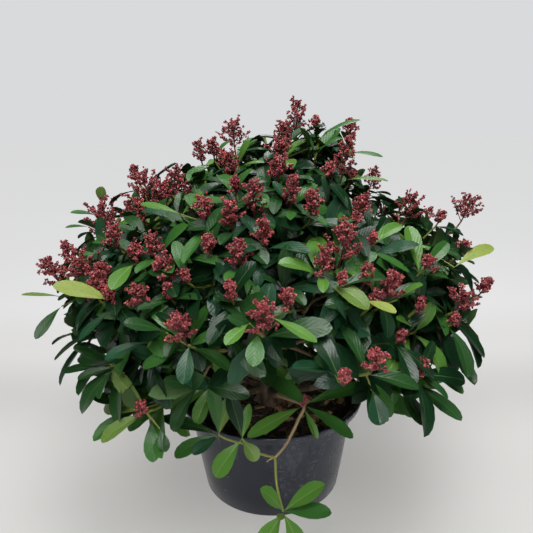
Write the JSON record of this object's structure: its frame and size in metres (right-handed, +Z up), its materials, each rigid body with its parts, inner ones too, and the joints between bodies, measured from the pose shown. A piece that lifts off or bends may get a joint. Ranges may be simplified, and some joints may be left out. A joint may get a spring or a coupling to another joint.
{
  "type": "potted skimmia shrub",
  "caption": "Domed evergreen skimmia shrub in a low black nursery pot, with whorls of leathery leaves, panicles of red flower buds at the shoot tips and one long shoot hanging over the rim.",
  "frame": {"origin": "centre of the flat underside of the pot", "axes": "+Z up; -Y towards the front, where the long shoot hangs over the rim; +X to the right as seen from the front"},
  "size_m": [0.8784, 0.879, 0.7818],
  "materials": {
    "pot_plastic": "satin blue-black plastic, lightly scuffed",
    "potting_mix": "dark peat with bark chips",
    "bark": "grey-brown bark",
    "foliage": "glossy leathery leaves, dark red buds"
  },
  "bodies": {
    "root": {"pot": "pot_plastic", "potting_soil": "potting_mix", "trunk": "bark", "bough_crown_top": "bark", "bough_hanging_shoot": "bark", "bough_left_arm": "bark", "bough_middle_back_left": "bark", "bough_middle_back_right": "bark", "bough_middle_front": "bark", "bough_middle_front_left": "bark", "bough_middle_front_right": "bark", "bough_right_arm": "bark", "bough_skirt_back_left": "bark", "bough_skirt_back_right": "bark", "bough_skirt_front_left": "bark", "bough_skirt_front_right": "bark", "bough_skirt_left": "bark", "bough_skirt_right": "bark", "bough_upper_back": "bark", "bough_upper_front": "bark", "bough_upper_left": "bark", "bough_upper_right": "bark", "crown_top": "foliage", "hanging_shoot": "foliage", "left_arm": "foliage", "middle_back_left": "foliage", "middle_back_right": "foliage", "middle_front": "foliage", "middle_front_left": "foliage", "middle_front_right": "foliage", "right_arm": "foliage", "skirt_back_left": "foliage", "skirt_back_right": "foliage", "skirt_front_left": "foliage", "skirt_front_right": "foliage", "skirt_left": "foliage", "skirt_right": "foliage", "upper_back": "foliage", "upper_front": "foliage", "upper_left": "foliage", "upper_right": "foliage"}
  },
  "joints": []
}
